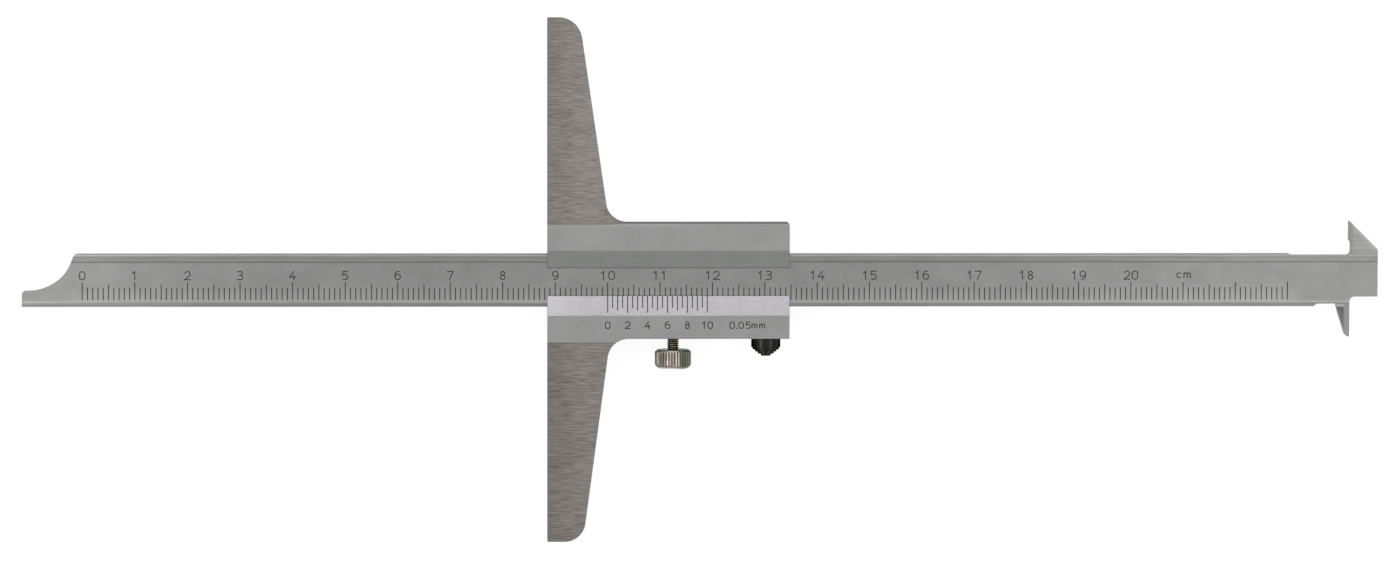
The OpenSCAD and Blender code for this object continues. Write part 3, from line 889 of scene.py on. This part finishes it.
@dataclass(frozen=True, kw_only=True)
class SliderSteel(Finish):
    """The slider's finish: a satin face, ground bevels, darker ground wings and sides in a dark colour
    that is painted shade.

    Sizes are in millimetres, with the measuring face at X 0 and the beam's middle at Y 0. A rub
    is a paler place, and a shade a darker one. The rim highlight is a painted highlight along
    the top edge, and the lip shade is a painted shadow along the upper lip. Faces above window_z
    are in front of the beam's window.
    """

    name: str = "slider_steel"
    glancing: Colour = (0.45, 0.45, 0.45)
    satin: Ground = Ground((0.455, 0.455, 0.452), 0.36, Grain.BLASTED,
                           marks=5.0, mark_tone=0.07, cloud_tone=0.05)
    upper_bevel: Ground = Ground((0.415, 0.425, 0.415), 0.34, Grain.ALONG_X,
                                 marks=5.0, mark_tone=0.08, cloud_tone=0.04, seed=4)
    lower_bevel: Ground = Ground((0.374, 0.366, 0.388), 0.33, Grain.BLASTED,
                                 marks=2.2, mark_tone=0.24, cloud_tone=0.12, seed=6)
    wing: Ground = Ground((0.345, 0.318, 0.294), 0.42, Grain.SHORT_X,
                          marks=4.0, mark_tone=0.46, cloud_tone=0.07, depth=2.0,
                          coarse_share=0.15, seed=8)
    # Dark colour of the side faces: painted shade, for the darker surroundings that they reflect.
    side: Ground = Ground((0.16, 0.157, 0.15), 0.42, Grain.ALONG_X,
                          marks=5.0, mark_tone=0.12, cloud_tone=0.08, seed=2)
    window_z: float = 5.9
    wing_w: float = 8.0
    rim_y: float = 10.9
    upper_lip: float = 2.43
    lower_lip: float = -2.9
    lip_overlap: float = 0.1
    upper_bevel_w: float = 3.33
    lower_bevel_w: float = 3.76
    upper_wing_start: float = 11.0
    lower_wing_start: float = -11.85
    wing_drop: Fade = Fade(0.27, 16.0, 12.0)
    # Painted highlight along the top edge.
    rim_highlight: Line = Line(0.24, rim_y - 0.32, 0.2)
    rim_highlight_middle: float = 19.0
    rim_highlight_half_l: float = 16.0
    # Painted shadow along the upper lip's edge.
    lip_shade: Line = Line(-0.45, upper_lip, 0.18)
    bevel_rub: Fade = Fade(0.13, wing_w, 0.0)
    face_shade: Fade = Fade(-0.16, wing_w, 0.0)
    lower_shade: Fade = Fade(-0.08, 0.0, lower_wing_start)

    def surface(self, tree: Tree) -> Surface:
        """Lays the bevels, the wings and the sides, whose dark colour is painted shade, over the satin
        face, with a painted highlight along the top edge and a painted shadow along the upper lip.

        Args:
            tree: The material's nodes.

        Returns:
            The whole surface.
        """
        x, y, z = tree.split(tree.place())
        front = z.step(self.window_z)
        on_upper_bevel = y.band(self.upper_lip - self.lip_overlap,
                                self.upper_lip + self.upper_bevel_w) * front
        on_lower_bevel = y.band(self.lower_lip - self.lower_bevel_w,
                                self.lower_lip + self.lip_overlap) * front
        on_upper_wing = (y + self.wing_drop.on(x)).step(self.upper_wing_start)
        on_lower_wing = y.step(self.lower_wing_start, -y.SOFT)
        # Painted highlight along the top edge.
        highlighted_rim = 1 + self.rim_highlight.on(y) * x.line(self.rim_highlight_middle, self.rim_highlight_half_l)
        # Painted shadow along the upper lip.
        shadowed_lip = 1 + self.lip_shade.on(y)
        worn_bevel = 1 + self.bevel_rub.on(x)
        worn_wing = 1 + self.face_shade.on(x) + self.lower_shade.on(y)
        upper_bevel = self.upper_bevel.surface(tree).toned(tree, shadowed_lip)
        lower_bevel = self.lower_bevel.surface(tree).toned(tree, worn_bevel)
        wing = self.wing.surface(tree).toned(tree, worn_wing)
        whole = self.satin.surface(tree).toned(tree, highlighted_rim)
        whole = whole.overlaid(tree, upper_bevel, on_upper_bevel)
        whole = whole.overlaid(tree, lower_bevel, on_lower_bevel)
        whole = whole.overlaid(tree, wing, on_upper_wing + on_lower_wing)
        # Sideways faces take the dark side colour, which is painted shade.
        return whole.overlaid(tree, self.side.surface(tree), tree.sideways())


@dataclass
class Slider:
    """The slider with its bridge. Sizes are in millimetres."""

    edge_w: float = 0.07
    finish: SliderSteel = SliderSteel()

    def build(self) -> list[bpy.types.Object]:
        """Softens the edges and dresses the piece.

        Returns:
            The piece.
        """
        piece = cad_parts["slider_bridge"]
        soften(piece, self.edge_w)
        self.finish.dress([piece])
        return [piece]


@dataclass(frozen=True, kw_only=True)
class BeamSteel(Finish):
    """The beam's finish: a satin scale face between ground rails, and ground hooks, with painted light
    and shade on the rails, the hook and the ends, and sides in a dark colour that is painted shade.

    Sizes are in millimetres, with the measuring face at X 0 and the beam's middle at Y 0. A rub
    is a paler place, and a shade a darker one. The highlights are painted highlights, the inner
    light is painted light, and the inner shade and the land shade are painted shade. hook_x is
    the hooks' inner edge, and slant_sum is X + Y along the upper hook's slant.
    """

    name: str = "beam_steel"
    satin: Ground = Ground((0.38, 0.38, 0.377), 0.36, Grain.BLASTED,
                           marks=4.0, mark_tone=0.09, cloud_tone=0.06)
    rail: Ground = Ground((0.38, 0.38, 0.375), 0.33, Grain.ALONG_X,
                          marks=3.0, mark_tone=0.16, cloud_tone=0.05, seed=4)
    # Dark colour of the side faces: painted shade, for the darker surroundings that they reflect.
    side: Ground = Ground((0.13, 0.13, 0.122), 0.42, Grain.ALONG_X,
                          marks=5.0, mark_tone=0.12, cloud_tone=0.08, seed=8)
    facet: Ground = Ground((0.18, 0.181, 0.155), 0.38, Grain.ALONG_Y,
                           marks=2.2, mark_tone=0.4, cloud_tone=0.2, seed=12)
    half_w: float = 5.0
    upper_rail: float = 3.62
    lower_rail: float = -4.0
    face_z: float = 5.55
    hook_x: float = 153.4
    slant_sum: float = 164.65
    rail_z: Span = (face_z + 0.03, face_z + 0.12)
    step_half_w: float = 0.12
    facet_facing: Span = (0.6, 0.93)
    facet_soft: float = 0.03
    facet_y: Span = (-half_w, -half_w - 0.2)
    # Painted highlight growing towards the tip and towards the hook end.
    tip_highlight: Fade = Fade(0.31, -50.0, -100.0)
    hook_end_highlight: Fade = Fade(0.24, 45.0, 150.0)
    scale_ends: Span = (-89.0, 143.0)
    scale_soft: float = 3.0
    scale_rub: Fade = Fade(0.21, -0.2, -4.2)
    # Painted highlight along the top edge, and a darker band below it.
    upper_highlight: Line = Line(0.38, half_w - 0.24, 0.17)
    upper_shade: Line = Line(-0.07, 4.38, 0.3)
    # Painted shade just above the upper rail's inner step, and painted light just below it.
    inner_shade: Line = Line(-0.1, upper_rail + 0.18, 0.18)
    inner_light: Line = Line(0.16, 3.5, 0.15)
    # Painted highlight along the lower rail's inner step, and a darker band below it.
    lower_highlight: Line = Line(0.38, lower_rail - 0.12, 0.2)
    lower_shade: Fade = Fade(-0.07, -4.2, -4.4)
    streak_stretch: Triple = (0.02, 3.0, 1.0)
    streak_seed: float = 31
    streak_tone: float = 0.08
    hook_y: Span = (5.05, 5.4)
    # Painted light and shade on the upper hook: paler all over, a painted highlight along its slant and
    # painted shade along its land.
    hook_tone: float = 0.08
    slant_highlight: Fade = Fade(0.26, slant_sum - 1.1, slant_sum)
    land_shade: Fade = Fade(-0.22, hook_x + 0.9, hook_x + 0.1)

    def surface(self, tree: Tree) -> Surface:
        """Lays the rails, the sides, whose dark colour is painted shade, and the hook's facet over the
        satin face.

        Args:
            tree: The material's nodes.

        Returns:
            The whole surface, with a painted highlight growing towards both of the beam's ends.
        """
        x, y, z = tree.split(tree.place())
        _, _, up = tree.facing()
        on_rail = z.rise(*self.rail_z)
        on_facet = abs(up).band(*self.facet_facing, self.facet_soft) * y.rise(*self.facet_y)
        on_step = y.band(self.lower_rail - self.step_half_w, self.lower_rail + self.step_half_w)
        streaks = tree.noise(self.streak_stretch, seed=self.streak_seed)
        # Painted highlight towards both ends.
        ends_highlight = 1 + self.tip_highlight.on(x) + self.hook_end_highlight.on(x)
        # Painted shade and painted light at the upper rail's inner step.
        inner_step_light_and_shade = 1 + self.inner_shade.on(y) + self.inner_light.on(y)
        # Painted highlight along the top edge.
        top_edge_highlight = 1 + self.upper_highlight.on(y) + self.upper_shade.on(y)
        # Painted highlight along the lower rail's inner step.
        lower_step_highlight = 1 + self.lower_highlight.on(y) + self.lower_shade.on(y)
        # Grinding streaks, with the painted highlights along the rail's edges.
        rail_streaks_and_light = top_edge_highlight * lower_step_highlight * (1 + streaks * self.streak_tone)
        worn_scale = 1 + self.scale_rub.on(y) * x.band(*self.scale_ends, self.scale_soft)
        # Painted light and shade on the upper hook.
        hook_light_and_shade = self.hook_tone + self.slant_highlight.on(x + y) + self.land_shade.on(x)
        hook_light_level = 1 + hook_light_and_shade * y.rise(*self.hook_y)
        rail = self.rail.surface(tree).toned(tree, rail_streaks_and_light * inner_step_light_and_shade * hook_light_level)
        whole = self.satin.surface(tree).toned(tree, worn_scale * inner_step_light_and_shade)
        whole = whole.overlaid(tree, rail, on_rail)
        # Sideways faces take the dark side colour, which is painted shade.
        whole = whole.overlaid(tree, self.side.surface(tree), tree.sideways() * (1 - on_step))
        whole = whole.overlaid(tree, self.facet.surface(tree), on_facet)
        # Painted highlight towards both ends.
        return whole.toned(tree, ends_highlight)


@dataclass
class Beam:
    """The graduated beam. Sizes are in millimetres."""

    edge_w: float = 0.04
    finish: BeamSteel = BeamSteel()

    def build(self) -> list[bpy.types.Object]:
        """Softens the edges and dresses the piece.

        Returns:
            The piece.
        """
        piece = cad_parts["beam"]
        soften(piece, self.edge_w)
        self.finish.dress([piece])
        return [piece]


@dataclass
class Lettering:
    """The lacquered lines, numbers and unit marks of the main scale and the vernier."""

    nodes: tuple[str, ...] = ("scale_lines", "scale_numbers", "scale_unit_mark",
                              "vernier_lines", "vernier_numbers", "vernier_unit_mark")
    finish: PlainFinish = PlainFinish(
        name="black_lacquer", metallic=0.0, gloss=0.3,
        ground=Ground((0.03, 0.03, 0.028), 0.5, Grain.BLASTED,
                      marks=3.0, mark_tone=0.3, cloud_tone=0.25, depth=0.5))

    def build(self) -> list[bpy.types.Object]:
        """Dresses the lines, numbers and unit marks.

        Returns:
            The pieces.
        """
        pieces = [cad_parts[name] for name in self.nodes]
        self.finish.dress(pieces)
        return pieces


@dataclass
class Innards:
    """The spring strip, its pins and the brass pads, which show only when the gauge is opened."""

    edge_w: float = 0.05
    bronze: PlainFinish = PlainFinish(
        name="spring_bronze", ground=Ground((0.6, 0.38, 0.18), 0.3, Grain.ALONG_X,
                                            marks=4.0, mark_tone=0.1, cloud_tone=0.08))
    brass: PlainFinish = PlainFinish(
        name="pad_brass", ground=Ground((0.72, 0.54, 0.22), 0.28, Grain.ALONG_Y,
                                        marks=5.0, mark_tone=0.08, cloud_tone=0.06))
    wire: PlainFinish = PlainFinish(
        name="pin_steel", ground=Ground((0.38, 0.38, 0.39), 0.3, Grain.BLASTED,
                                        marks=4.0, mark_tone=0.08, cloud_tone=0.05))

    def build(self) -> list[bpy.types.Object]:
        """Softens the edges and dresses the pieces.

        Returns:
            The pieces.
        """
        built = []
        for finish, nodes in ((self.bronze, ("gib_strip",)),
                              (self.brass, ("clamp_pad", "drag_pad")),
                              (self.wire, ("gib_pins",))):
            pieces = [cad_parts[name] for name in nodes]
            for piece in pieces:
                soften(piece, self.edge_w)
            finish.dress(pieces)
            built += pieces
        return built


@dataclass
class Viewpoint:
    """The camera, above the gauge and nearly square to it.

    Fields: where it aims and how far off it is, in millimetres, its lean towards +Y, its swing
    towards +X and its roll, in degrees, the size of the picture at the aim, and the nearest and
    farthest that it sees, in metres.
    """

    aim: Triple = (29.124, -0.398, 5.5)
    distance: float = 1300.0
    lean: float = 4.16
    swing: float = -1.58
    roll: float = 0.082
    pixels_per_mm: float = 5.2414
    nearest: float = 0.05
    farthest: float = 30.0

    def build(self) -> None:
        """Makes the scene's camera."""
        lean, swing, roll = (math.radians(a) for a in (self.lean, self.swing, self.roll))
        back = Vector((math.sin(swing) * math.cos(lean), math.sin(lean),
                       math.cos(swing) * math.cos(lean)))
        right = Vector((0, 1, 0)).cross(back).normalized()
        up = back.cross(right)
        turned_right = right * math.cos(roll) + up * math.sin(roll)
        turned_up = back.cross(turned_right)
        data = bpy.data.cameras.new("camera")
        data.sensor_width = SENSOR_WIDTH
        data.lens = SENSOR_WIDTH * self.pixels_per_mm * self.distance / PICTURE_WIDTH_PX
        data.clip_start, data.clip_end = self.nearest, self.farthest
        camera = bpy.data.objects.new("camera", data)
        bpy.context.scene.collection.objects.link(camera)
        turn = Matrix((turned_right, turned_up, back)).transposed().to_4x4()
        place = (Vector(self.aim) + back * self.distance) * MM
        camera.matrix_world = Matrix.Translation(place) @ turn
        bpy.context.scene.camera = camera


@dataclass(frozen=True)
class Lamp:
    """A soft lamp, invisible to the camera.

    Fields: its name, the way to it in degrees from straight up towards +X and towards +Y, its
    distance, width and length in metres, and how bright it looks, where 1 is white.
    """

    name: str
    towards_x: float
    towards_y: float
    distance: float
    width: float
    length: float
    brightness: float

    def build(self, aim: Vector) -> None:
        """Makes the lamp.

        Args:
            aim: The place that it lights, in metres.
        """
        data = bpy.data.lights.new(self.name, "AREA")
        data.shape = "RECTANGLE"
        data.size, data.size_y = self.width, self.length
        data.energy = self.brightness * math.pi * self.width * self.length
        tilts = (math.tan(math.radians(angle)) for angle in (self.towards_x, self.towards_y))
        way = Vector((*tilts, 1)).normalized()
        across = Vector((0, 1, 0)).cross(way).normalized()
        turn = Matrix((across, way.cross(across), way)).transposed().to_4x4()
        lamp = bpy.data.objects.new(self.name, data)
        bpy.context.scene.collection.objects.link(lamp)
        lamp.matrix_world = Matrix.Translation(aim + way * self.distance) @ turn
        lamp.visible_camera = False


@dataclass
class Studio:
    """The plain pale floor, the soft lamps and the light from all round.

    Fields: the floor's size and height in metres, its colour, the colour that keeps the shadow
    where the camera sees the floor, how brightly it glows there, the strength of the sky and how
    much stronger it is on the +Y side, and the lamps.
    """

    floor_size: float = 12.0
    floor_z: float = -0.00002
    floor_colour: Colour = (0.9, 0.9, 0.9)
    shadow_colour: Colour = (0.2, 0.2, 0.2)
    glow: float = 0.9
    sky: float = 0.57
    sky_tilt: float = 0.15
    lamps: tuple[Lamp, ...] = (
        Lamp("overhead_lamp", 0.0, 32.0, 1.2, 0.7, 0.7, 1.3),
        Lamp("left_strip", -42.0, 0.0, 1.3, 0.21, 0.9, 5.0),
        Lamp("right_strip", 38.0, 0.0, 1.3, 0.16, 0.9, 3.8),
    )

    def paint(self) -> bpy.types.Material:
        """Makes the floor's paint: white to the camera and in reflections, with the shadow kept.

        Returns:
            The paint.
        """
        material = bpy.data.materials.new("floor_paint")
        tree = Tree(material)
        diffuse = tree.add("ShaderNodeBsdfDiffuse", inputs={"Color": self.floor_colour})
        faint = tree.add("ShaderNodeBsdfDiffuse", inputs={"Color": self.shadow_colour})
        glow = tree.add("ShaderNodeEmission", inputs={"Color": WHITE, "Strength": self.glow})
        white = tree.add("ShaderNodeAddShader", inputs={0: faint.outputs[0], 1: glow.outputs[0]})
        path = tree.add("ShaderNodeLightPath").outputs
        seen = (Signal(tree, path["Is Camera Ray"]) + Signal(tree, path["Is Glossy Ray"])
                + Signal(tree, path["Is Transmission Ray"]))
        mixed = tree.add("ShaderNodeMixShader", inputs={0: seen.rise(0.0, 1.0),
                                                        1: diffuse.outputs[0], 2: white.outputs[0]})
        tree.add("ShaderNodeOutputMaterial", inputs={"Surface": mixed.outputs[0]})
        return material

    def floor(self) -> None:
        """Makes the floor."""
        half = self.floor_size / 2
        mesh = bmesh.new()
        corners = [mesh.verts.new((x, y, self.floor_z))
                   for x, y in ((-half, -half), (half, -half), (half, half), (-half, half))]
        mesh.faces.new(corners)
        data = bpy.data.meshes.new("floor")
        mesh.to_mesh(data)
        mesh.free()
        data.materials.append(self.paint())
        floor = bpy.data.objects.new("floor", data)
        bpy.context.scene.collection.objects.link(floor)

    def world(self) -> None:
        """Makes the light from all round, a little stronger on the +Y side."""
        world = bpy.data.worlds.new("sky")
        tree = Tree(world)
        way = tree.add("ShaderNodeTexCoord").outputs["Generated"]
        _, y, _ = tree.split(way)
        strength = self.sky + y * self.sky_tilt
        light = tree.add("ShaderNodeBackground", inputs={"Color": WHITE, "Strength": strength})
        tree.add("ShaderNodeOutputWorld", inputs={"Surface": light.outputs[0]})
        bpy.context.scene.world = world

    def build(self, aim: Vector) -> None:
        """Makes the floor, the world and the lamps.

        Args:
            aim: The place that the lamps light, in metres.
        """
        self.floor()
        self.world()
        for lamp in self.lamps:
            lamp.build(aim)
        bpy.context.scene.view_settings.view_transform = "Standard"


def main() -> None:
    """Builds the scene."""
    logging.basicConfig(level=logging.INFO, format="%(message)s")
    viewpoint = Viewpoint()
    viewpoint.build()
    Studio().build(Vector(viewpoint.aim) * MM)
    for part in (Slider(), Beam(), LockScrew(), DragScrew(), Lettering(), Innards()):
        for piece in part.build():
            log.info("%s: %s", type(part).__name__, piece.name)


if __name__ == "__main__":
    main()
